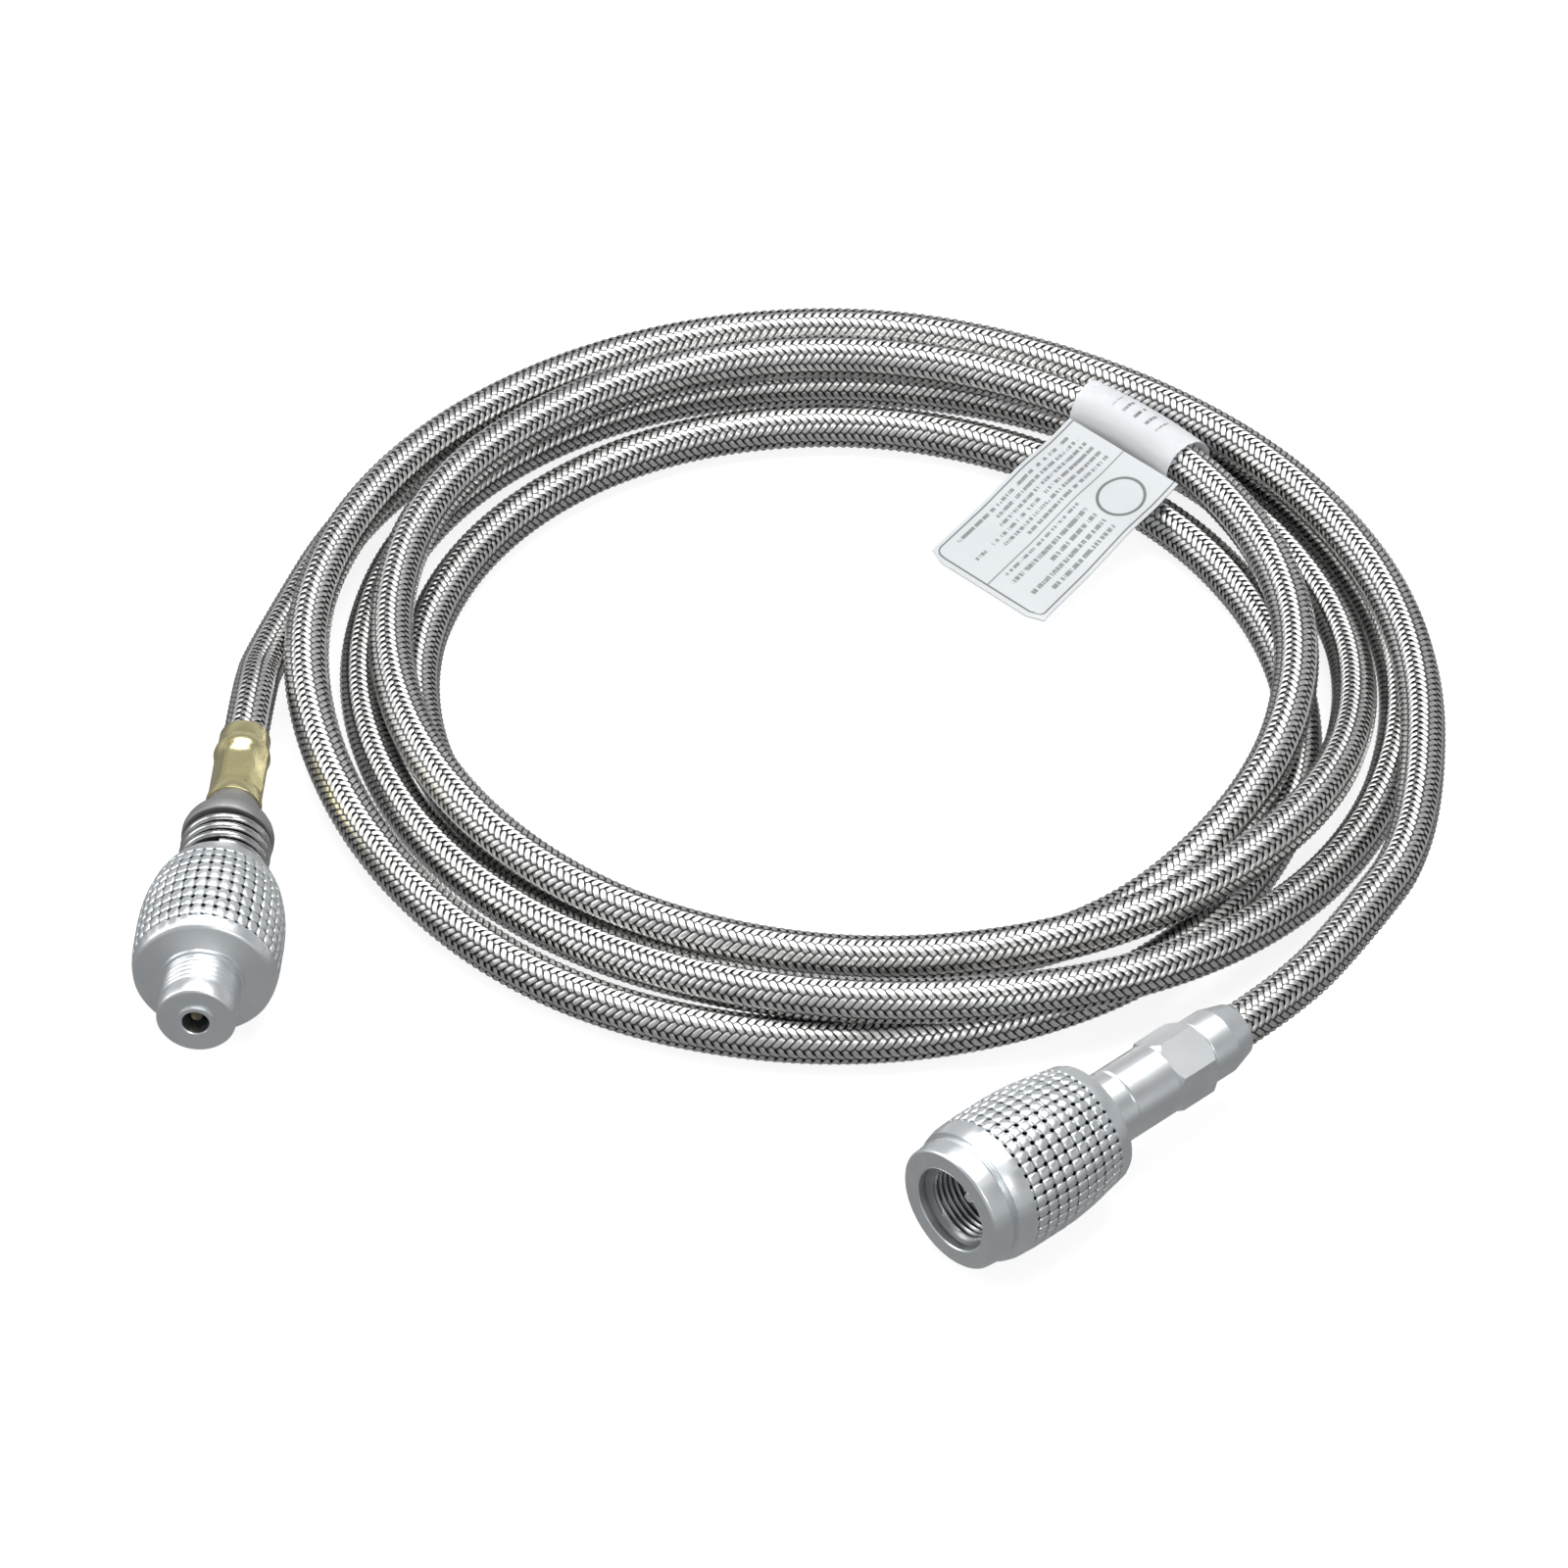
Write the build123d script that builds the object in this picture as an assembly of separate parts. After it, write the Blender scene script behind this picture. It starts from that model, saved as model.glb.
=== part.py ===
from build123d import *
import os
from math import cos, pi, radians, sin, tan

# Stainless braided gas extension hose, coiled on a surface, with a knurled
# screw fitting at each end.  Millimetres, +Z up.  The origin is on the
# surface, midway between the ends of the two fittings.

# ---- driving dimensions -------------------------------------------------
hose_d = 6.7                  # over the braid
hose_r = hose_d / 2
thread_major_r = 5.55         # 7/16 inch screw, outside of the male thread
thread_minor_r = 5.15         # crests of the female thread
liner_bore_r = 2.0            # barb inside the rubber liner

axis_height = 10.4            # both fittings lie on their knurled grips
inlet_face = (35.40, -46.55)  # middle of the female mouth
inlet_azimuth = 42.8          # direction from the mouth to the hose
inlet_length = 54.1           # mouth to hose
outlet_face = (-68.16, -8.08) # middle of the male nose
outlet_azimuth = 86.2         # direction from the nose to the hose
outlet_length = 61.0          # nose to hose

coil_centre = (23.33, 73.3)
coil_outer_r = 82.8
coil_inner_r = 58.6
coil_height = 13.3
coil_edge = 2.2               # bevel of the coil's outline

# hand-laid hose route from each fitting to the coil, which starts with a
# straight run out of the fitting
inlet_first_run = 12.0
inlet_route = [(94.7, 13.9, 10.4), (101.8, 30.0, 10.1), (104.6, 46.5, 10.0), (104.2, 62.0, 9.9)]
outlet_first_run = 11.0
outlet_route = [(-62.4, 76.5, 8.4), (-59.9, 88.7, 5.6), (-55.2, 100.0, 4.2)]

# female fitting, distances from its mouth along the axis
nut_length = 26.0
nut_rim_r = 9.1
nut_grip_r = 10.4
nut_tail_r = 8.6
nut_mouth_r = 6.4
nut_thread_end = 9.4
nut_chamber_r = 7.0
nut_chamber_end = 21.0
stem_flange = (14.9, 17.6)
stem_flange_r = 6.85
neck_r = 5.3
neck_end = 38.8
neck_seam = 31.0
swivel_gap = 0.08
hex_flats = 10.0
hex_end = 46.3
sleeve_r = 4.9
sleeve_tip_r = 3.75
seal_r = 4.9
pin_r = 0.9
pin_tip = 9.5

# male fitting, distances from its nose along the axis
nose_length = 7.8
head_length = 30.5
head_grip_r = 10.4
head_tail_r = 6.7
port_r = 1.9
port_depth = 2.6
valve_chamber_r = 3.2
valve_chamber_end = 14.0
head_chamber_r = 5.2
outlet_shaft_r = 3.6
spring_seat_start = 38.3
spring_seat_r = 6.6
spring_wire_r = 0.62
spring_mean_r = 5.85
spring_turns = 3.5
ferrule_start = 45.6
ferrule_r = 3.95
ferrule_waist_r = 3.7
poppet = (6.0, 7.6)
poppet_r = 2.4
poppet_stem_r = 0.8
valve_spring_start = 9.3
clearance = 0.1

pieces = {}


def turned(profile):
    """Solid of revolution about local Z; the profile is a closed list of
    (radius, distance) points."""
    corners = [p for p, q in zip(profile, profile[-1:] + profile[:-1]) if p != q]
    outline = Polyline(*[(r, 0, z) for r, z in corners], close=True)
    return revolve(make_face(outline), Axis.Z, 360)


def ring(outer, inner, start, end):
    return turned([(inner, start), (outer, start), (outer, end), (inner, end)])


def hexagon_band(flats, start, end, bore):
    """Hexagonal band with its corners chamfered at both ends."""
    body = extrude(Plane.XY.offset(start) * RegularPolygon(flats / cos(radians(30)) / 2, 6),
                   end - start)
    corner = flats / cos(radians(30)) / 2
    flat = flats / 2
    dome = turned([(0, start), (flat - 0.1, start), (corner + 0.05, start + 0.9),
                   (corner + 0.05, end - 0.9), (flat - 0.1, end), (0, end)])
    band = body & dome
    if bore:
        band = band - Pos(0, 0, start - 1) * Cylinder(bore, end - start + 2, align=base)
    return band


def barbs(start, end, count):
    """Outline points of a hose barb, from its root to its tip."""
    step = (end - start) / count
    points = []
    for i in range(count):
        z = start + i * step
        points += [(liner_bore_r - 0.3, z), (liner_bore_r, z + 0.1)]
    points.append((liner_bore_r - 0.4, end))
    return points


base = (Align.CENTER, Align.CENTER, Align.MIN)


# ---- female (canister) fitting ------------------------------------------
def inlet_nut():
    outer = [(nut_mouth_r, 0), (nut_rim_r - 0.3, 0), (nut_rim_r, 0.3), (9.35, 3.1), (9.1, 3.3),
             (9.1, 3.6), (9.8, 3.8), (10.2, 5.2), (nut_grip_r, 8.5), (nut_grip_r, 13.5),
             (10.1, 18.0), (9.5, 21.8), (nut_tail_r + 0.3, 25.4), (nut_tail_r, nut_length)]
    inner = [(nut_chamber_r, nut_length), (nut_chamber_r, 13.8), (6.0, 12.8), (6.0, nut_thread_end),
             (thread_minor_r, nut_thread_end), (thread_minor_r, 1.25)]
    return turned(outer + inner)


def inlet_retainer():
    return ring(nut_chamber_r, neck_r + swivel_gap, nut_chamber_end, nut_length)


def inlet_stem():
    profile = [(1.0, 11.0), (2.6, 11.0), (2.6, 12.6), (4.9, 12.6), (4.9, stem_flange[0]),
               (stem_flange_r, stem_flange[0]), (stem_flange_r, stem_flange[1]),
               (neck_r, stem_flange[1]), (neck_r, neck_seam - 0.25), (neck_r - 0.25, neck_seam),
               (neck_r, neck_seam + 0.25), (neck_r, neck_end), (liner_bore_r - 0.3, neck_end),
               (liner_bore_r - 0.3, hex_end)]
    profile += barbs(hex_end, inlet_length - 0.6, 4)
    profile += [(1.0, inlet_length - 0.6)]
    return turned(profile)


def inlet_seal():
    return ring(seal_r, 2.6, 11.2, 12.6)


def depressor_pin():
    return turned([(0, pin_tip), (pin_r - 0.3, pin_tip), (pin_r, pin_tip + 0.3), (pin_r, 11.0), (1.0, 11.0),
                   (1.0, 14.0), (0, 14.0)])


def inlet_hex():
    return hexagon_band(hex_flats, neck_end, hex_end, liner_bore_r - 0.3)


def inlet_sleeve():
    return turned([(hose_r, hex_end), (sleeve_r - 0.2, hex_end), (sleeve_r, hex_end + 0.2),
                   (sleeve_r, 50.3), (sleeve_r - 0.25, 51.8), (4.3, 53.3),
                   (sleeve_tip_r, inlet_length), (hose_r, inlet_length)])


def liner(start, end, barb_start, barb_end):
    """Rubber liner end, gripped between the barb and the outer sleeve."""
    body = ring(hose_r, 0.9, start, end)
    tail = turned([(0, barb_start)] + barbs(barb_start, barb_end, 4) + [(0, barb_end)])
    return body - tail


# ---- male (stove) fitting -----------------------------------------------
def outlet_head():
    outer = [(port_r, -0.5), (2.5, -0.5), (2.7, -0.3), (2.7, 0), (thread_major_r - 0.35, 0),
             (thread_major_r, 0.35), (thread_major_r, nose_length), (5.9, nose_length + 0.1),
             (5.9, 8.4), (9.3, 8.7), (9.9, 9.3), (10.2, 10.6), (head_grip_r, 13.6),
             (head_grip_r, 18.0), (10.15, 21.5), (9.55, 24.5), (8.8, 27.0), (7.7, 29.2),
             (head_tail_r, head_length)]
    inner = [(head_chamber_r, head_length), (head_chamber_r, valve_chamber_end),
             (valve_chamber_r, valve_chamber_end), (valve_chamber_r, port_depth),
             (port_r, port_depth)]
    return turned(outer + inner)


def head_retainer():
    return ring(head_chamber_r, outlet_shaft_r + swivel_gap, 26.2, head_length)


def valve_seat():
    return ring(valve_chamber_r, 1.5, 4.7, poppet[0] - clearance)


def valve_poppet():
    return turned([(0, 1.1), (poppet_stem_r, 1.1), (poppet_stem_r, poppet[0]),
                   (poppet_r, poppet[0]), (poppet_r, poppet[1]), (0, poppet[1])])


def coil_spring(mean_r, wire_r, start, end, turns):
    """Open helical spring whose wire stays between the start and the end."""
    height = end - start - 2 * wire_r
    path = Helix(height / turns, height, mean_r)
    section = Plane(path @ 0, z_dir=path % 0) * Circle(wire_r)
    return Pos(0, 0, start + wire_r) * sweep(section, path, is_frenet=True)


def outlet_stem():
    profile = [(1.2, 11.2), (2.7, 11.2), (valve_chamber_r - swivel_gap, 11.6),
               (valve_chamber_r - swivel_gap, valve_chamber_end + 0.3), (5.1, 14.3), (5.1, 16.6),
               (outlet_shaft_r, 16.6), (outlet_shaft_r, 44.0), (3.0, 44.0), (3.0, ferrule_start),
               (liner_bore_r - 0.3, ferrule_start)]
    profile += barbs(ferrule_start, outlet_length - 0.8, 4)
    profile += [(1.2, outlet_length - 0.8)]
    return turned(profile)


def spring_seat():
    return turned([(outlet_shaft_r, spring_seat_start), (spring_seat_r - 0.2, spring_seat_start),
                   (spring_seat_r, spring_seat_start + 0.2), (spring_seat_r, 39.6), (6.0, 41.2),
                   (4.6, 43.2), (3.9, 44.2), (3.8, ferrule_start), (3.0, ferrule_start),
                   (3.0, 44.0), (outlet_shaft_r, 44.0)])


def outlet_ferrule():
    """Brass ferrule with a flared mouth, a six-sided crimp and a plain collar."""
    outer = turned([(hose_r, ferrule_start), (ferrule_r, ferrule_start),
                    (ferrule_r, ferrule_start + 1.2), (ferrule_waist_r + 0.2, ferrule_start + 2.2),
                    (ferrule_waist_r + 0.2, 55.4), (ferrule_r, 56.4), (ferrule_r, 57.6),
                    (ferrule_waist_r, 58.6), (ferrule_waist_r, outlet_length),
                    (hose_r, outlet_length)])
    crimp = extrude(Plane.XY.offset(ferrule_start + 2.2) *
                    RegularPolygon((ferrule_waist_r - 0.08) / cos(radians(30)), 6),
                    55.4 - ferrule_start - 2.2)
    cutter = Pos(0, 0, ferrule_start + 2.2) * Cylinder(6, 55.4 - ferrule_start - 2.2, align=base)
    return outer - (cutter - crimp)


# ---- hose ----------------------------------------------------------------
def tube(name, points):
    """Plain tube along straight runs joined by arcs as large as the runs allow."""
    corners = [Vector(*p) for p in points]
    radii = []
    for a, b, c in zip(corners, corners[1:], corners[2:]):
        turn = radians((b - a).get_angle(c - b))
        radii.append(0.45 * min((b - a).length, (c - b).length) / tan(turn / 2))
    path = FilletPolyline(*points, radius=radii)
    section = Plane(path @ 0, z_dir=path % 0) * Circle(hose_r)
    solid = sweep(section, path)
    print(name, "radii", [round(r) for r in radii], "length", round(path.length, 1),
          "volume ratio", round(solid.volume / (pi * hose_r ** 2 * path.length), 4))
    return solid


def coil_solid():
    e, low, high = coil_edge, coil_inner_r, coil_outer_r
    bundle = turned([(low + e, 0), (high - e, 0), (high, e), (high, coil_height - e),
                     (high - e, coil_height), (low + e, coil_height), (low, coil_height - e), (low, e)])
    return Pos(coil_centre[0], coil_centre[1], 0) * bundle


# ---- placing ---------------------------------------------------------------
def axis_plane(face, azimuth):
    along = (cos(radians(azimuth)), sin(radians(azimuth)), 0)
    return Plane(origin=(face[0], face[1], axis_height), x_dir=(0, 0, 1), z_dir=along)


def on_axis(face, azimuth, length):
    return (face[0] + length * cos(radians(azimuth)), face[1] + length * sin(radians(azimuth)),
            axis_height)


def run_out(face, azimuth, length, first_run):
    return [on_axis(face, azimuth, length), on_axis(face, azimuth, length + first_run)]


inlet_place = axis_plane(inlet_face, inlet_azimuth)
for name, solid in {
    "inlet_nut": inlet_nut(), "inlet_retainer": inlet_retainer(), "inlet_stem": inlet_stem(),
    "inlet_seal": inlet_seal(), "depressor_pin": depressor_pin(), "inlet_hex": inlet_hex(),
    "inlet_sleeve": inlet_sleeve(),
    "inlet_liner": liner(hex_end, inlet_length, hex_end, inlet_length - 0.6),
}.items():
    pieces[name] = inlet_place * solid

outlet_place = axis_plane(outlet_face, outlet_azimuth)
for name, solid in {
    "outlet_head": outlet_head(), "head_retainer": head_retainer(), "valve_seat": valve_seat(),
    "valve_poppet": valve_poppet(), "outlet_stem": outlet_stem(), "spring_seat": spring_seat(),
    "valve_spring": coil_spring(2.3, 0.25, valve_spring_start, 11.2, 2.5),
    "swivel_spring": coil_spring(spring_mean_r, spring_wire_r, head_length + clearance,
                                 spring_seat_start, spring_turns),
    "outlet_ferrule": outlet_ferrule(),
    "outlet_liner": liner(ferrule_start, outlet_length, ferrule_start, outlet_length - 0.8),
}.items():
    pieces[name] = outlet_place * solid

inlet_points = run_out(inlet_face, inlet_azimuth, inlet_length, inlet_first_run) + inlet_route
outlet_points = run_out(outlet_face, outlet_azimuth, outlet_length, outlet_first_run) + outlet_route
pieces["hose_inlet_run"] = tube("hose_inlet_run", inlet_points)
pieces["hose_outlet_run"] = tube("hose_outlet_run", outlet_points)
pieces["hose_coil"] = coil_solid()

fittings = Compound([p for n, p in pieces.items() if not n.startswith("hose")]).bounding_box()
print("fittings box", fittings.min, fittings.max)
print("hose starts", inlet_points[:2], outlet_points[:2])

os.makedirs("parts", exist_ok=True)
for name, solid in pieces.items():
    solid.label = name
    export_step(solid, f"parts/{name}.step")
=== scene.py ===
from math import atan2, ceil, cos, degrees, hypot, pi, radians, sin

import bmesh
import bpy
from mathutils import Matrix, Vector


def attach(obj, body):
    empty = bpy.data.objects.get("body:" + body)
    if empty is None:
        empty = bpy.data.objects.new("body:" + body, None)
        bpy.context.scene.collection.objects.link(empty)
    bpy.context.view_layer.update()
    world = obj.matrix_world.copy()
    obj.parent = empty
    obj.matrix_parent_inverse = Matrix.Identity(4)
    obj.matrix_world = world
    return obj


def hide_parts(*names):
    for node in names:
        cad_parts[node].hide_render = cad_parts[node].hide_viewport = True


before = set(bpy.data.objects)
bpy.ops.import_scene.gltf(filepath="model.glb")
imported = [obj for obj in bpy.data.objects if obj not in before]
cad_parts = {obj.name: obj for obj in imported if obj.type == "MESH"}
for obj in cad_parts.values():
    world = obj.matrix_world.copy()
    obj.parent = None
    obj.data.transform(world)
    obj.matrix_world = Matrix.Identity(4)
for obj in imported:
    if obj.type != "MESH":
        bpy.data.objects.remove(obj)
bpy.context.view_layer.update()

mm = 0.001
marksRadius = 9  # turns an angle into distance along the lathe marks
scene = bpy.context.scene


def linked(name, data):
    made = bpy.data.objects.new(name, data)
    scene.collection.objects.link(made)
    return made


# camera
camera = linked("camera", bpy.data.cameras.new("camera"))
camera.location = (0.01306, -0.94063, 0.83562)
camera.rotation_euler = (radians(50), 0, 0)
camera.data.sensor_width = 36
camera.data.lens = 207
scene.camera = camera

# hose route: lead-in, then loops of (radius, height) every thirty degrees, then the tail
hose = dict(
    radius=3.35,
    centre=(23.33, 77.485),
    firstAngle=330,
    stepAngle=30,
    lead=[(75.095, -9.792, 10.4), (83.90, -1.64, 10.4), (92.6, 11.7, 10.4)],
    loops=[
        [(89.2, 10.0), (79.8, 10.0), (73.5, 9.8), (70.8, 9.7), (73.2, 9.8), (75.1, 9.8),
         (77.4, 10.1), (79.8, 9.9), (79.9, 5.0), (82.4, 3.4), (82.2, 3.4), (78.8, 3.4)],
        [(70.7, 3.4), (62.7, 3.4), (57.9, 3.4), (56.0, 3.4), (57.5, 3.4), (59.8, 3.4),
         (61.7, 3.4), (63.6, 3.4), (65.0, 3.4), (65.3, 3.4), (65.4, 3.4), (67.4, 3.4)],
        [(65.8, 8.6), (63.8, 10.1), (63.6, 9.2), (65.0, 9.4), (66.5, 9.8), (68.5, 9.8),
         (69.8, 9.8), (67.2, 9.4), (67.0, 9.3), (68.3, 8.8), (70.5, 8.8), (73.4, 9.5)],
        [(75.4, 9.9), (72.2, 5.0), (68.6, 3.4), (67.5, 3.4), (67.6, 3.4), (70.5, 3.4),
         (72.0, 3.4), (71.6, 3.4), (71.9, 3.4), (73.4, 4.8), (80.5, 10.3), (84.0, 8.8)],
        [(81.6, 3.4), (79.4, 3.4), (75.6, 3.4), (74.6, 3.4), (75.8, 3.4), (78.6, 3.4),
         (81.0, 3.4)],
    ],
    tail=[(-62.84, 76.24, 5.7), (-63.39, 63.76, 10.2), (-64.117, 52.786, 10.4)],
    length=2136,
)


def routePoints():
    points = [Vector(p) for p in hose["lead"]]
    angle = hose["firstAngle"]
    for loop in hose["loops"]:
        for radius, height in loop:
            reach = radius / cos(radians(hose["stepAngle"] / 2))
            points.append(Vector((hose["centre"][0] + reach * cos(radians(angle)),
                                  hose["centre"][1] + reach * sin(radians(angle)), height)))
            angle += hose["stepAngle"]
    return points + [Vector(p) for p in hose["tail"]]


line = bpy.data.curves.new("hoseLine", "CURVE")
line.dimensions = "3D"
spline = line.splines.new("NURBS")
route = routePoints()
spline.points.add(len(route) - 1)
for point, place in zip(spline.points, route):
    point.co = (*(place * mm), 1)
spline.order_u = 3
spline.use_endpoint_u = True
line.resolution_u = 16
line.twist_mode = "Z_UP"
lineObject = linked("hoseLine", line)
bpy.context.view_layer.update()
lineMesh = bpy.data.meshes.new_from_object(lineObject)
path = [v.co.copy() for v in lineMesh.vertices]
lineLength = sum((b - a).length for a, b in zip(path, path[1:]))
print("hose line", len(path), "points", round(lineLength / mm, 1), "mm")


# looks
class Wire:
    def __init__(self, look, socket):
        self.look, self.socket = look, socket

    def math(self, operation, *others):
        return self.look.node("ShaderNodeMath", dict(enumerate((self, *others))),
                              operation=operation)

    def __add__(self, other):
        return self.math("ADD", other)

    def __mul__(self, other):
        return self.math("MULTIPLY", other)

    def __sub__(self, other):
        return self.math("SUBTRACT", other)

    def __rsub__(self, other):
        return self.look.node("ShaderNodeMath", {0: other, 1: self}, operation="SUBTRACT")

    __radd__ = __add__
    __rmul__ = __mul__

    def step(self, low, high, start=0.0, end=1.0):
        return self.look.node("ShaderNodeMapRange", {0: self, 1: low, 2: high, 3: start, 4: end},
                              interpolation_type="SMOOTHSTEP")


class Look:
    def __init__(self, name, **values):
        self.material = bpy.data.materials.new(name)
        self.material.use_nodes = True
        self.tree = self.material.node_tree
        self.shader = self.tree.nodes["Principled BSDF"]
        for socket, value in values.items():
            self.to(socket.replace("_", " "), value)

    def node(self, kind, inputs=None, out=0, **settings):
        made = self.tree.nodes.new(kind)
        for key, value in settings.items():
            setattr(made, key, value)
        for key, value in (inputs or {}).items():
            if isinstance(value, Wire):
                self.tree.links.new(value.socket, made.inputs[key])
            else:
                made.inputs[key].default_value = value
        return Wire(self, made.outputs[out])

    def to(self, socket, value):
        if isinstance(value, Wire):
            self.tree.links.new(value.socket, self.shader.inputs[socket])
        else:
            self.shader.inputs[socket].default_value = value

    def place(self):
        return self.node("ShaderNodeTexCoord", out="Object")

    def flat(self):
        return self.node("ShaderNodeUVMap", uv_map="UVMap")

    def part(self, vector, axis):
        return self.node("ShaderNodeSeparateXYZ", {0: vector}, out=axis)

    def scaled(self, vector, size):
        return self.node("ShaderNodeVectorMath", {0: vector, 1: size}, operation="MULTIPLY")

    def noise(self, vector, scale, detail=3.0, rough=0.5):
        return self.node("ShaderNodeTexNoise", {"Vector": vector, "Scale": scale,
                                                "Detail": detail, "Roughness": rough})

    def mix(self, factor, first, second):
        made = self.tree.nodes.new("ShaderNodeMix")
        made.data_type = "RGBA"
        for index, value in ((0, factor), (6, first), (7, second)):
            if isinstance(value, Wire):
                self.tree.links.new(value.socket, made.inputs[index])
            else:
                made.inputs[index].default_value = value
        return Wire(self, made.outputs[2])

    def bump(self, height, strength, distance):
        self.to("Normal", self.node("ShaderNodeBump", {"Height": height, "Strength": strength,
                                                       "Distance": distance}))


def grey(value, warm=0.0):
    return (value * (1 + warm), value, value * (1 - warm), 1)


def turnedMetal(name, bright, dull, rough, recessShadeColor=None, marks=0.35):
    # fine lathe marks round the axis, cloudy handling marks, painted shade in the recesses
    look = Look(name, Metallic=1.0)
    flat, place = look.flat(), look.place()
    rings = look.noise(look.scaled(flat, (0.02, 9.0, 1.0)), 1.0, 4.0)
    cloud = look.noise(place, 160.0, 5.0, 0.6)
    speck = look.noise(place, 2600.0, 2.0)
    color = look.mix(cloud.step(0.35, 0.7), bright, dull)
    color = look.mix(rings.step(0.3, 0.75) * 0.25, color, dull)
    # painted shade: where the deep attribute marks a cut, groove or bore, the colour is darkened towards the
    # near-black shade colour
    if recessShadeColor:
        deep = look.node("ShaderNodeAttribute", out="Fac", attribute_name="deep")
        color = look.mix(deep.step(0.3, 1.5), color, recessShadeColor)
    look.to("Base Color", color)
    look.to("Roughness", rough + cloud.step(0.3, 0.75) * 0.09 + speck * 0.05)
    look.bump(rings * 0.7 + speck * 0.3, marks, 0.00003)
    return look.material


def paleMetal(name, bright, dull, rough):
    # the same finish for parts that have no turned surface coordinates
    look = Look(name, Metallic=1.0)
    place = look.place()
    cloud = look.noise(place, 220.0, 5.0, 0.6)
    speck = look.noise(place, 5000.0, 2.0)
    look.to("Base Color", look.mix(cloud.step(0.35, 0.7), bright, dull))
    look.to("Roughness", rough + cloud.step(0.3, 0.75) * 0.07 + speck * 0.04)
    look.bump(speck, 0.06, 0.00002)
    return look.material


def rubber(name, color):
    look = Look(name)
    place = look.place()
    cloud = look.noise(place, 300.0, 4.0)
    look.to("Base Color", look.mix(cloud.step(0.3, 0.8), color, grey(0.05)))
    look.to("Roughness", 0.55 + cloud * 0.2)
    look.bump(look.noise(place, 1800.0, 3.0), 0.25, 0.00005)
    return look.material


# the alloy's near-black recess colour is painted shade
alloy = turnedMetal("alloy", (0.82, 0.845, 0.86, 1), (0.73, 0.76, 0.78, 1), 0.3, grey(0.02), marks=0.12)
plated = paleMetal("plated", (0.82, 0.845, 0.86, 1), (0.75, 0.78, 0.80, 1), 0.29)
# painted shade: the stem behind the spring is made near black so the gaps between the coils read dark
stemShadeMetal = paleMetal("stemShadeMetal", grey(0.035), grey(0.025), 0.6)
seatMetal = turnedMetal("seatMetal", grey(0.36), grey(0.30), 0.5, marks=0.3)
springMetal = paleMetal("springMetal", grey(0.58), grey(0.45), 0.16)
ferruleMetal = turnedMetal("ferruleMetal", (0.80, 0.73, 0.42, 1), (0.66, 0.59, 0.31, 1), 0.2, marks=0.12)
# painted shade: the poppet's metal is darkened almost to black, standing in for the shade deep inside the
# bore
boreShadeBrass = paleMetal("boreShadeBrass", (0.20, 0.17, 0.11, 1), (0.12, 0.10, 0.07, 1), 0.4)
pinMetal = paleMetal("pinMetal", grey(0.78), grey(0.68), 0.16)
sealRubber = rubber("sealRubber", grey(0.02))
linerRubber = rubber("linerRubber", grey(0.015))


def braidMaterial():
    # each ribbon is a few fine wires side by side; painted shade darkens the grooves between the wires and
    # the ribbon's sides and ends, where it meets or dives under the next
    look = Look("braidWire", Metallic=1.0)
    flat, place = look.flat(), look.place()
    along, across = look.part(flat, 0), look.part(flat, 1)
    edge = across.math("PINGPONG", 0.5).step(0.0, 0.19)
    tip = along.math("PINGPONG", 0.5).step(0.0, 0.2)
    wires = (across * (7 * pi)).math("SINE").math("ABSOLUTE")
    cloud = look.noise(place, 120.0, 4.0, 0.6)
    bright = look.mix(cloud.step(0.3, 0.7), (0.91, 0.90, 0.885, 1), (0.76, 0.75, 0.735, 1))
    # painted shade in the grooves between the fine wires
    bright = look.mix(wires.step(0.0, 0.5), grey(0.35), bright)
    # painted shade: near black at the ribbon's sides and at its ends where it dives under the next
    look.to("Base Color", look.mix(edge * tip, grey(0.035), bright))
    look.to("Roughness", 0.27 - wires * 0.06 + cloud * 0.08)
    look.bump(wires, 0.5, 0.00003)
    return look.material


braidWire = braidMaterial()
# the rubber core under the braid is made near black so the gaps between the ribbons read dark: painted shade
braidCore = rubber("braidCore", grey(0.006))


# lathe work: profiles are (radius, distance) in millimetres, shape moves each point
def axisPlace(face, azimuth, height=10.4):
    along = Vector((cos(radians(azimuth)), sin(radians(azimuth)), 0))
    up = Vector((0, 0, 1))
    turn = Matrix((up, along.cross(up), along)).transposed().to_4x4()
    return Matrix.Translation(Vector((face[0], face[1], height))) @ turn


def finished(name, mesh, material, place, smooth=35):
    bmesh.ops.transform(mesh, matrix=Matrix.Scale(mm, 4) @ place, verts=mesh.verts)
    bmesh.ops.recalc_face_normals(mesh, faces=mesh.faces)
    data = bpy.data.meshes.new(name)
    mesh.to_mesh(data)
    mesh.free()
    made = linked(name, data)
    data.materials.append(material)
    data.shade_smooth()
    data.set_sharp_from_angle(angle=radians(smooth))
    return made


def rounded(profile, size):
    # splits the listed corners of a closed profile into short arcs
    points = []
    for i, (r, s) in enumerate(profile):
        before, here, after = (Vector(profile[j % len(profile)]) for j in (i - 1, i, i + 1))
        reach = min(size, 0.3 * (before - here).length, 0.3 * (after - here).length)
        turn = (here - before).angle(after - here, 0)
        if turn < 0.35 or reach < 0.02:
            points.append((r, s))
            continue
        start = here + (before - here).normalized() * reach
        end = here + (after - here).normalized() * reach
        for t in (0, 0.33, 0.67, 1):
            bent = start * (1 - t) ** 2 + here * 2 * t * (1 - t) + end * t * t
            points.append((bent.x, bent.y))
    return points


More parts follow.
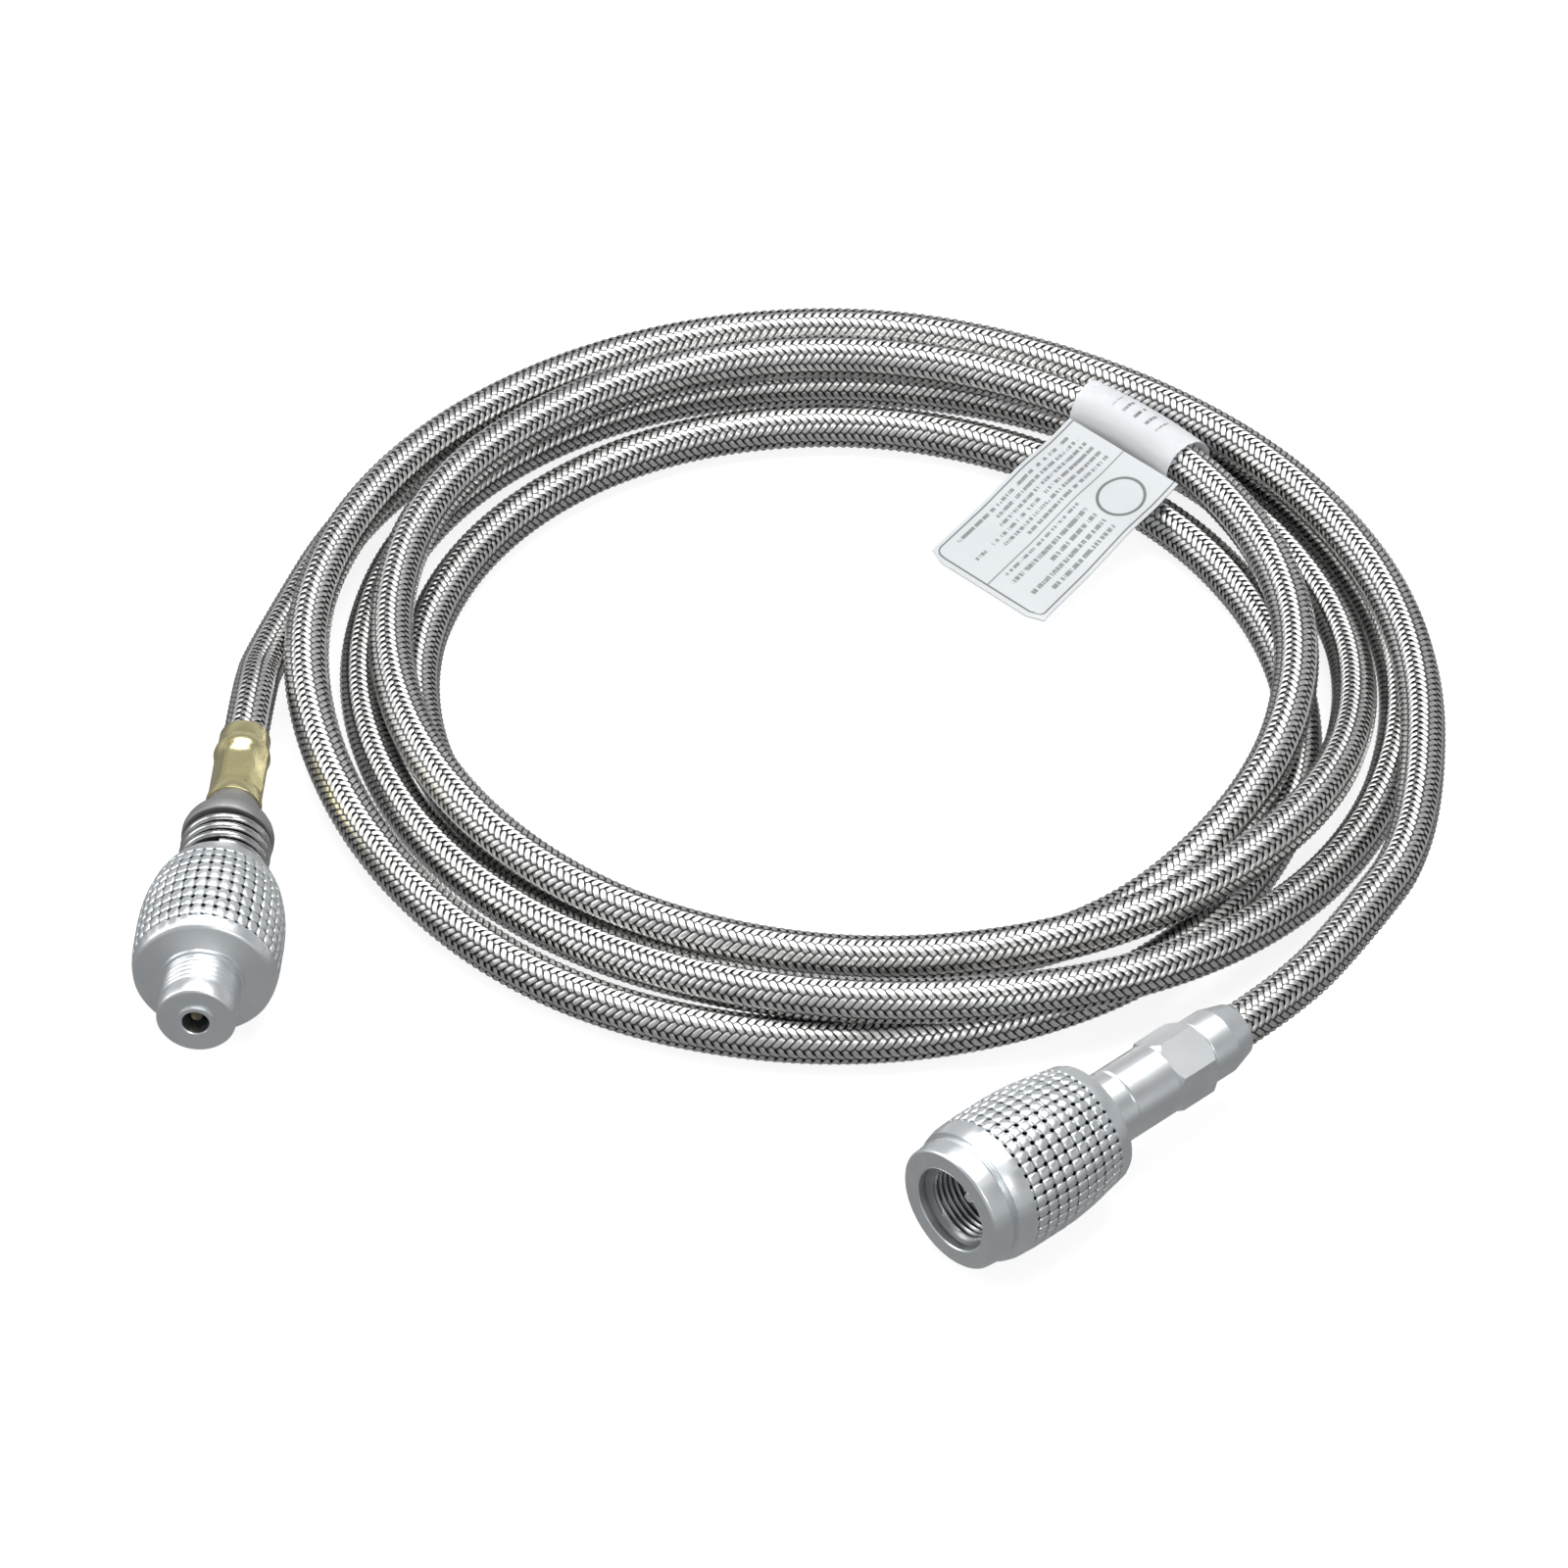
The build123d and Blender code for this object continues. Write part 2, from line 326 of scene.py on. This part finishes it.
def turned(name, profile, steps, material, place, shape=None, smooth=35):
    mesh = bmesh.new()
    deep = mesh.verts.layers.float.new("deep")
    corners = [mesh.verts.new((r, 0, s)) for r, s in profile]
    edges = [mesh.edges.new(pair) for pair in zip(corners, corners[1:] + corners[:1])]
    bmesh.ops.spin(mesh, geom=corners + edges, cent=(0, 0, 0), axis=(0, 0, 1), angle=2 * pi,
                   steps=steps, use_merge=True)
    bmesh.ops.remove_doubles(mesh, verts=mesh.verts, dist=0.0005)
    if shape:
        for v in mesh.verts:
            radius, s, angle = hypot(v.co.x, v.co.y), v.co.z, atan2(v.co.y, v.co.x)
            radius, s, angle, v[deep] = shape(radius, s, angle)
            v.co = (radius * cos(angle), radius * sin(angle), s)
    flat = mesh.loops.layers.uv.new("UVMap")
    for face in mesh.faces:
        middle = face.calc_center_median()
        facing = atan2(middle.y, middle.x)
        for loop in face.loops:
            co = loop.vert.co
            angle = atan2(co.y, co.x)
            angle += 2 * pi * round((facing - angle) / (2 * pi))
            loop[flat].uv = (angle * marksRadius, co.z + hypot(co.x, co.y))
    return finished(name, mesh, material, place, smooth)


# knurl cells: where the cuts lie in one cell, how deep each cut is there, and how strongly cuts and pits are
# darkened as painted shade
knurl = dict(columns=38, cuts=(-0.06, 0.06, 0.14, 0.22, 0.78, 0.86), depths=(1, 1, 0.3, 0, 0, 0.3),
             depth=0.2, pit=0.5, cutShade=0.8, pitShade=1.6)
knurlSteps = knurl["columns"] * len(knurl["cuts"])


def rowStations(start, end, rows):
    pitch = (end - start) / rows
    cutEdge = knurl["cuts"][1]
    return [(start + (row + cut) * pitch, depth)
            for row in range(rows) for cut, depth in zip(knurl["cuts"], knurl["depths"])
            if row or cut > 0] + [(end - cutEdge * pitch, 1), (end + cutEdge * pitch, 1)]


def valueAt(points, s):
    # reads a list of (value, distance) points at one distance
    for (v0, s0), (v1, s1) in zip(points, points[1:]):
        if s0 <= s <= s1:
            return v0 + (v1 - v0) * ((s - s0) / (s1 - s0))
    return points[-1][0]


runOut = 0.6  # the thread fades in and out over this length
flankSlope = 2.6


def knurlShape(grip, rows, thread):
    cuts = len(knurl["cuts"])
    stations = dict((round(s, 3), depth) for s, depth in rows)

    def shape(radius, s, angle):
        step = round(angle / (2 * pi) * knurlSteps) % knurlSteps
        column, place = divmod(step, cuts)
        newAngle = (column + knurl["cuts"][place]) / knurl["columns"] * 2 * pi
        if radius > 7 and grip[0] <= s <= grip[1]:
            dip = knurl["depths"][place] + stations.get(round(s, 3), 0.0)
            pit = max(0.0, dip - 1)
            # painted shade: knurl cuts and the pits where they cross are darkened in step with their depth
            shadeAmount = knurl["cutShade"] * dip + knurl["pitShade"] * pit
            return radius - knurl["depth"] * dip - knurl["pit"] * pit, s, newAngle, shadeAmount
        inside = thread["way"] > 0
        if thread["inner"] < radius < thread["outer"] and thread["start"] <= s <= thread["end"]:
            turn = (s / thread["pitch"] - newAngle / (2 * pi)) % 1
            fade = min(1.0, (s - thread["start"]) / runOut, (thread["end"] - s) / runOut)
            wave = max(0.0, 1 - abs(turn - 0.5) * flankSlope) * max(fade, 0)
            # painted shade: thread grooves are darkened, and the whole inside of the female bore more so
            shadeAmount = 0.75 + 0.6 * wave if inside else 0.5 * wave
            return radius + thread["way"] * wave * thread["depth"], s, newAngle, shadeAmount
        # painted shade: the plain wall inside the female bore is darkened
        return radius, s, newAngle, float(inside and 0.5 < s < 12.9 and 4 < radius < 6.35)
    return shape


def stations(start, end, gap):
    count = ceil((end - start) / gap)
    return [start + (end - start) * i / count for i in range(count + 1)]


# female fitting
inlet = dict(face=(35.40, -46.55), azimuth=42.8, grip=(6.9, 23.6), rows=9,
             outline=[(9.8, 3.8), (10.0, 4.4), (10.2, 5.2), (10.3, 6.6), (10.4, 8.5), (10.4, 13.5),
                      (10.3, 16.0), (10.1, 18.0), (9.85, 20.0), (9.5, 21.8), (8.9, 25.4), (8.6, 26.0)],
             thread=dict(inner=4.9, outer=5.7, start=1.6, end=9.4, pitch=0.907, depth=0.42, way=1))
inletPlace = axisPlace(inlet["face"], inlet["azimuth"])
inletRows = rowStations(*inlet["grip"], inlet["rows"])


def gripProfile(front, fitting, rows, back):
    outline = fitting["outline"]
    body = sorted({round(s, 3) for s, depth in rows} | {round(s, 3) for r, s in outline})
    return front + [(valueAt(outline, s), s) for s in body] + back


inletProfile = gripProfile(
    rounded([(6.4, 0), (8.8, 0), (9.1, 0.3), (9.35, 3.0), (9.1, 3.3), (9.1, 3.6)], 0.12)[1:-1],
    inlet, inletRows,
    [(7.0, 26), (7.0, 13.8), (6.0, 12.8), (6.0, 9.4)]
    + [(5.15, s) for s in reversed(stations(1.9, 9.4, 0.15))]
    + [(5.7, 1.5), (6.2, 1.3), (6.25, 0.15), (6.4, 0)])
inletGrip = turned("inletGrip", inletProfile, knurlSteps, alloy, inletPlace,
                   knurlShape(inlet["grip"], inletRows, inlet["thread"]))
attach(inletGrip, "inlet_grip")
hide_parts("inlet_nut")

# male fitting
outlet = dict(face=(-68.16, -8.08), azimuth=86.2, grip=(10.9, 26.2), rows=8,
              outline=[(9.3, 8.7), (9.7, 8.95), (9.9, 9.3), (10.2, 10.6), (10.35, 12.1), (10.4, 13.6),
                       (10.4, 18.0), (10.3, 20.0), (10.15, 21.5), (9.9, 23.0), (9.55, 24.5), (9.2, 25.9),
                       (8.8, 27.0),
                       (8.3, 28.1), (7.7, 29.2), (7.25, 29.9), (6.7, 30.5)],
              thread=dict(inner=5.45, outer=5.6, start=2.6, end=7.0, pitch=0.907, depth=0.2, way=-1))
outletPlace = axisPlace(outlet["face"], outlet["azimuth"])
outletRows = rowStations(*outlet["grip"], outlet["rows"])
outletProfile = gripProfile(
    [(1.9, -0.35), (2.05, -0.5), (2.5, -0.5), (2.66, -0.42), (2.7, -0.25), (2.75, 0), (5.1, 0), (5.35, 0.1),
     (5.55, 0.4)] + [(5.55, s) for s in stations(2.2, 7.3, 0.13)]
    + [(5.55, 7.7), (5.9, 7.85), (5.95, 8.3), (6.1, 8.42)], outlet, outletRows,
    [(5.2, 30.5), (5.2, 14.0), (3.2, 14.0), (3.2, 2.6), (1.9, 2.6)])
outletHead = turned("outletHead", outletProfile, knurlSteps, alloy, outletPlace,
                    knurlShape(outlet["grip"], outletRows, outlet["thread"]))
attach(outletHead, "outlet_grip")
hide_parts("outlet_head")


# crimped sleeves and the spring seat
def onHose(piece, node):
    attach(piece, "hose")
    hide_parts(node)


sleeve = turned("inletSleeve", rounded(
    [(3.3, 46.3), (4.7, 46.3), (4.9, 46.5), (4.9, 50.4), (3.95, 53.9), (3.75, 54.1),
     (3.3, 54.1)], 0.12), 64, alloy, inletPlace, smooth=12)
onHose(sleeve, "inlet_sleeve")
seat = turned("springSeat", rounded(
    [(3.6, 38.3), (6.4, 38.3), (6.6, 38.5), (6.6, 39.6), (6.35, 40.5), (6.0, 41.2), (5.3, 42.2), (4.6, 43.2),
     (4.1, 43.9), (3.9, 44.4), (3.8, 45.6), (3.0, 45.6), (3.0, 44.0), (3.6, 44.0)], 0.1), 64, seatMetal,
    outletPlace)
onHose(seat, "spring_seat")
pin = turned("depressorPin", [(0, 3.5), (0.7, 3.5), (0.95, 3.7), (1.0, 4.1), (0.9, 5.1), (0.9, 11.0),
                              (1.0, 11.0), (1.0, 14.0), (0, 14.0)], 32, pinMetal, inletPlace)
onHose(pin, "depressor_pin")

crimp = dict(start=47.6, end=55.6, flats=6, across=3.46, blend=0.8)


def crimpShape(radius, s, angle):
    if radius > 3.5 and crimp["start"] < s < crimp["end"]:
        sector = 2 * pi / crimp["flats"]
        away = (angle + sector / 2) % sector - sector / 2
        flat = crimp["across"] / cos(away)
        ends = min(1, (s - crimp["start"]) / crimp["blend"], (crimp["end"] - s) / crimp["blend"])
        return radius + (min(radius, flat) - radius) * ends, s, angle, 0.0
    return radius, s, angle, 0.0


ferrule = turned("outletFerrule", rounded(
    [(3.3, 45.6), (4.05, 45.6), (4.05, 46.6), (3.9, 47.5)], 0.08)
    + [(3.9, s) for s in stations(47.8, 55.4, 0.5)]
    + [(3.85, 55.8), (4.0, 56.2), (4.12, 56.8), (4.0, 57.5), (3.75, 58.2), (3.7, 58.6), (3.7, 60.8),
       (3.6, 61), (3.3, 61)], 72, ferruleMetal, outletPlace, crimpShape, 30)
onHose(ferrule, "outlet_ferrule")
print("fittings done")

# parts whose shape is kept
for node, material in {
    "inlet_retainer": plated, "inlet_stem": plated, "inlet_seal": sealRubber,
    "inlet_hex": plated, "inlet_liner": linerRubber, "head_retainer": plated, "valve_seat": sealRubber,
    "valve_poppet": boreShadeBrass, "outlet_stem": stemShadeMetal, "valve_spring": springMetal,
    "swivel_spring": springMetal, "outlet_liner": linerRubber,
}.items():
    shown = bpy.data.objects[node]
    if not shown.material_slots:
        shown.data.materials.append(material)
    for place in shown.material_slots:
        place.material = material

# braided hose: one unit of two periods, repeated along the route
braid = dict(rows=12, period=1.24, width=0.92, core=2.98, top=3.35, side=3.2, end=3.06, low=2.86, tuck=1.12,
             periods=2)


def braidUnit(length):
    mesh = bmesh.new()
    flat = mesh.loops.layers.uv.new("UVMap")
    period = length / braid["periods"]
    rowWide = 2 * pi * braid["top"] / braid["rows"]
    slant = Vector((period, rowWide))
    side = Vector((-slant.y, slant.x)).normalized() * braid["width"] / 2
    for row in range(braid["rows"]):
        mirror = -1 if row % 2 else 1
        for number in range(braid["periods"]):
            middle = Vector(((number + 0.25 + 0.5 * (row % 2)) * period, row * rowWide))
            grid = []
            for along in (-1, 0, 1):
                for across in (-1, 0, 1):
                    offset = slant * along * braid["tuck"] / 2 + side * across
                    x, around = middle.x + offset.x * mirror, middle.y + offset.y
                    radius = {(0, 0): braid["top"], (0, 1): braid["side"],
                              (1, 0): braid["end"], (1, 1): braid["low"]}[abs(along), abs(across)]
                    turn = around / braid["top"]
                    grid.append(mesh.verts.new((x, radius * sin(turn), radius * cos(turn))))
            for a in (0, 1):
                for b in (0, 1):
                    corner = [(a, b), (a + 1, b), (a + 1, b + 1), (a, b + 1)]
                    face = mesh.faces.new([grid[i * 3 + j] for i, j in corner])
                    face.normal_update()
                    middleFace = face.calc_center_median()
                    if face.normal.dot(Vector((0, middleFace.y, middleFace.z))) < 0:
                        face.normal_flip()
                        corner.reverse()
                    for loop in face.loops:
                        index = grid.index(loop.vert)
                        loop[flat].uv = (index // 3 / 2, index % 3 / 2)
    rings = [[mesh.verts.new((x, braid["core"] * sin(turn), braid["core"] * cos(turn)))
              for turn in (2 * pi * (k + 0.5) / braid["rows"] for k in range(braid["rows"]))]
             for x in (0, length)]
    for k in range(braid["rows"]):
        n = (k + 1) % braid["rows"]
        face = mesh.faces.new([rings[0][k], rings[1][k], rings[1][n], rings[0][n]])
        face.material_index = 1
    data = bpy.data.meshes.new("braidUnit")
    bmesh.ops.scale(mesh, vec=(mm, mm, mm), verts=mesh.verts)
    mesh.to_mesh(data)
    mesh.free()
    return data


units = round(lineLength / mm / (braid["period"] * braid["periods"]))
unitLength = lineLength / mm / units
unit = linked("braidUnit", braidUnit(unitLength))
repeat = unit.modifiers.new("repeat", "ARRAY")
repeat.use_relative_offset = False
repeat.use_constant_offset = True
repeat.constant_offset_displace = (unitLength * mm, 0, 0)
repeat.count = units
bend = unit.modifiers.new("bend", "CURVE")
bend.object = lineObject
bend.deform_axis = "POS_X"
bpy.context.view_layer.update()
solid = bpy.data.meshes.new_from_object(unit.evaluated_get(bpy.context.evaluated_depsgraph_get()))
mesh = bmesh.new()
mesh.from_mesh(solid)
coreVerts = list({v for f in mesh.faces if f.material_index == 1 for v in f.verts})
bmesh.ops.remove_doubles(mesh, verts=coreVerts, dist=0.00002)
openEdges = [e for e in mesh.edges if e.is_boundary and all(f.material_index == 1 for f in e.link_faces)]
capped = bmesh.ops.holes_fill(mesh, edges=openEdges, sides=braid["rows"])
for face in capped["faces"]:
    face.material_index = 1
coreFaces = [f for f in mesh.faces if f.material_index == 1]
bmesh.ops.recalc_face_normals(mesh, faces=coreFaces)
hoseData = bpy.data.meshes.new("braidedHose")
mesh.to_mesh(hoseData)
mesh.free()
hoseData.materials.clear()
hoseData.materials.append(braidWire)
hoseData.materials.append(braidCore)
hoseData.shade_smooth()
braidedHose = linked("braidedHose", hoseData)
bpy.data.objects.remove(unit)
bpy.data.objects.remove(lineObject)
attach(braidedHose, "hose")
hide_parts("hose_coil", "hose_inlet_run", "hose_outlet_run")
print("braid", units, "units", len(hoseData.polygons), "faces")

# label: a film sleeve round one strand with a flat flag over the inner strand
label = dict(angles=(38, 59), radius=4.2, sides=20, film=0.2,
             corner=[(55.8, 128.4), (71.5, 112.4)], way=(-0.67, -0.742), long=31.2, splay=(-0.6, 0.6),
             heights=[(0, 9.9), (2.2, 9.2), (5, 8.4), (11, 7.3), (20, 4.5), (31.2, 1.9)], rows=24,
             clips={0: 1.1, 1: 0.35})


def labelMaterial():
    look = Look("labelFilm", Roughness=0.36)
    flat, place = look.flat(), look.place()
    u, v = look.part(flat, 0), look.part(flat, 1)
    wide, high, inset, corner = 22.3, 31.2, 0.75, 1.2
    # distance from a rounded border
    x = ((u - 0.5).math("ABSOLUTE") * wide - (wide / 2 - inset - corner)).math("MAXIMUM", 0.0)
    y = ((v - 0.56).math("ABSOLUTE") * high - (high * 0.56 - 0.9 - corner)).math("MAXIMUM", 0.0)
    away = (x * x + y * y).math("SQRT") - corner
    border = 1 - away.math("ABSOLUTE").step(0.09, 0.2)
    inside = 1 - away.step(-0.05, 0.05)
    divider = (1 - ((u - 0.5).math("ABSOLUTE") * wide).step(0.08, 0.18)) * inside
    # plain grey rules of uneven length on both halves
    right = u.step(0.499, 0.501)
    ruleRow = u * 15.0 - right * u * 3.0
    number = ruleRow.math("FLOOR") + right * 57.0
    ragged = look.node("ShaderNodeTexWhiteNoise", {"W": number}, noise_dimensions="1D")
    bar = 1 - (ruleRow.math("FRACT") - 0.5).math("ABSOLUTE").step(0.17, 0.27)
    reach = (v - ragged * 0.3).step(0.09, 0.1) * (1 - v.step(0.93, 0.94))
    broken = look.noise(look.scaled(flat, (5.0, 75.0, 1.0)), 1.0, 1.0).step(0.42, 0.5)
    ringX, ringY = (u - 0.745) * wide, (v - 0.79) * high
    ringAway = ((ringX * ringX + ringY * ringY).math("SQRT") - 3.6).math("ABSOLUTE")
    ring = 1 - ringAway.step(0.18, 0.3)
    clear = 1 - right * v.step(0.63, 0.64)
    middle = (u - 0.5).math("ABSOLUTE").step(0.03, 0.04) * (1 - (u - 0.5).math("ABSOLUTE").step(0.42, 0.43))
    rules = bar * reach * broken * clear * middle
    ink = border.math("MAXIMUM", divider * 0.8).math("MAXIMUM", rules * 0.85).math("MAXIMUM", ring)
    cloud = look.noise(place, 90.0, 3.0)
    # painted light: the flag's paper is made much darker than the sleeve's, because the flag faces the
    # overhead light
    paper = look.mix(cloud, (0.47, 0.49, 0.505, 1), (0.42, 0.44, 0.455, 1))
    onSleeve = 1 - u.step(-0.5, -0.4)
    tick = 1 - ((u * 9.0).math("FRACT") - 0.5).math("ABSOLUTE").step(0.1, 0.16)
    band = v.step(0.2, 0.21) * (1 - v.step(0.30, 0.31)) * u.step(-1.72, -1.71) * (1 - u.step(-1.28, -1.27))
    ink = ink.math("MAXIMUM", tick * band * onSleeve * broken * 0.8)
    # painted light: the sleeve part of the same film gets a far brighter paper, because it turns away from
    # the overhead light
    paper = look.mix(onSleeve, paper, (0.84, 0.85, 0.87, 1))
    look.to("Base Color", look.mix(ink, paper, grey(0.12, -0.03)))
    look.bump(look.noise(place, 420.0, 2.0), 0.12, 0.0002)
    return look.material


labelFilm = labelMaterial()


def strandPoints():
    # the centreline of the third loop between the label's two ends
    loop, lastAngle, found = 0, None, []
    for p in path:
        angle = degrees(atan2(p.y / mm - hose["centre"][1], p.x / mm - hose["centre"][0])) % 360
        if lastAngle is not None and lastAngle > 300 and angle < 60:
            loop += 1
        lastAngle = angle
        if loop == 3 and label["angles"][0] <= angle <= label["angles"][1]:
            found.append(p / mm)
    return found


def labelMesh():
    mesh = bmesh.new()
    flat = mesh.loops.layers.uv.new("UVMap")
    strand = strandPoints()
    rings = []
    for i, p in enumerate(strand):
        along = (strand[min(i + 1, len(strand) - 1)] - strand[max(i - 1, 0)]).normalized()
        out = along.cross(Vector((0, 0, 1))).normalized()
        up = out.cross(along)
        rings.append([mesh.verts.new(p + (out * cos(a) + up * sin(a)) * label["radius"])
                      for a in (2 * pi * k / label["sides"] for k in range(label["sides"]))])
    for i, (first, second) in enumerate(zip(rings, rings[1:])):
        for k in range(label["sides"]):
            n = (k + 1) % label["sides"]
            face = mesh.faces.new([first[k], first[n], second[n], second[k]])
            for loop, (a, b) in zip(face.loops, ((i, k), (i, k + 1), (i + 1, k + 1), (i + 1, k))):
                loop[flat].uv = (-1 - a / (len(rings) - 1), b / label["sides"])
    bmesh.ops.solidify(mesh, geom=mesh.faces[:], thickness=-label["film"])
    left, right = (Vector(c) for c in label["corner"])
    way = Vector(label["way"])
    columns = 8
    sheets = []
    for lift in (0, label["film"]):
        grid = []
        for i in range(label["rows"] + 1):
            run = label["long"] * i / label["rows"]
            height = valueAt([(h, s) for s, h in label["heights"]], run)
            splay = Vector(label["splay"]) * i / label["rows"]
            clip = label["clips"].get(label["rows"] - i, 0)
            row = []
            for j in range(columns + 1):
                spot = left.lerp(right, j / columns) + way * (run - clip * (j in (0, columns)))
                spot += splay * (1 - j / columns)
                row.append(mesh.verts.new((*spot, height + lift)))
            grid.append(row)
        sheets.append(grid)
    for lift, grid in enumerate(sheets):
        for i in range(label["rows"]):
            for j in range(columns):
                face = mesh.faces.new([grid[i][j], grid[i + 1][j], grid[i + 1][j + 1], grid[i][j + 1]])
                if lift:
                    for loop, (a, b) in zip(face.loops, ((i, j), (i + 1, j), (i + 1, j + 1), (i, j + 1))):
                        loop[flat].uv = (b / columns, 1 - a / label["rows"])
    rims = [[g[0] for g in (list(reversed(sheet)))] + sheet[0][1:] + [g[-1] for g in sheet[1:]]
            + list(reversed(sheet[-1]))[1:-1] for sheet in sheets]
    for k in range(len(rims[0])):
        n = (k + 1) % len(rims[0])
        mesh.faces.new([rims[0][k], rims[0][n], rims[1][n], rims[1][k]])
    return mesh


hoseLabel = finished("hoseLabel", labelMesh(), labelFilm, Matrix.Identity(4), 25)
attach(hoseLabel, "hose")
print("label done", len(strandPoints()))

# floor and light
floorLook = Look("floorPaper", Roughness=0.9)
floorLook.to("Base Color", grey(0.22))
floorLook.to("Emission Color", grey(0.86))
floorLook.to("Emission Strength", 1.0)
floorMesh = bmesh.new()
bmesh.ops.create_grid(floorMesh, x_segments=1, y_segments=1, size=4)
bmesh.ops.translate(floorMesh, verts=floorMesh.verts, vec=(0, 0, -0.0002))
floorData = bpy.data.meshes.new("floor")
floorMesh.to_mesh(floorData)
floorMesh.free()
floorObject = linked("floor", floorData)
floorData.materials.append(floorLook.material)
floorObject.visible_glossy = False

world = bpy.data.worlds.new("room")
scene.world = world
world.use_nodes = True
tree = world.node_tree
where, split = tree.nodes.new("ShaderNodeTexCoord"), tree.nodes.new("ShaderNodeSeparateXYZ")
fade = tree.nodes.new("ShaderNodeValToRGB")
fade.color_ramp.elements[0].color = grey(0.34)
fade.color_ramp.elements[1].color = grey(0.9)
for stop, shade in ((0.40, 0.26), (0.56, 0.66), (0.8, 0.26)):
    fade.color_ramp.elements.new(stop).color = grey(shade, -0.02)
half = tree.nodes.new("ShaderNodeMath")
half.operation = "MULTIPLY_ADD"
half.inputs[1].default_value = half.inputs[2].default_value = 0.5
tree.links.new(where.outputs["Generated"], split.inputs[0])
tree.links.new(split.outputs[2], half.inputs[0])
tree.links.new(half.outputs[0], fade.inputs[0])
tree.links.new(fade.outputs[0], tree.nodes["Background"].inputs[0])


def softLight(name, place, target, size, power):
    data = bpy.data.lights.new(name, "AREA")
    data.shape = "RECTANGLE"
    data.size, data.size_y = size
    data.energy = power
    made = linked(name, data)
    made.location = place
    made.rotation_euler = (Vector(target) - Vector(place)).to_track_quat("-Z", "Y").to_euler()
    return made


lights = [softLight("overhead", (0.0, 0.25, 1.1), (0, 0.05, 0), (0.9, 0.6), 14),
          softLight("left", (-1.2, 0.1, 0.7), (0, 0.05, 0), (0.5, 0.9), 5),
          softLight("front", (0.5, -1.1, 0.9), (0, 0, 0), (0.5, 0.3), 4)]
scene.view_settings.view_transform = "Standard"
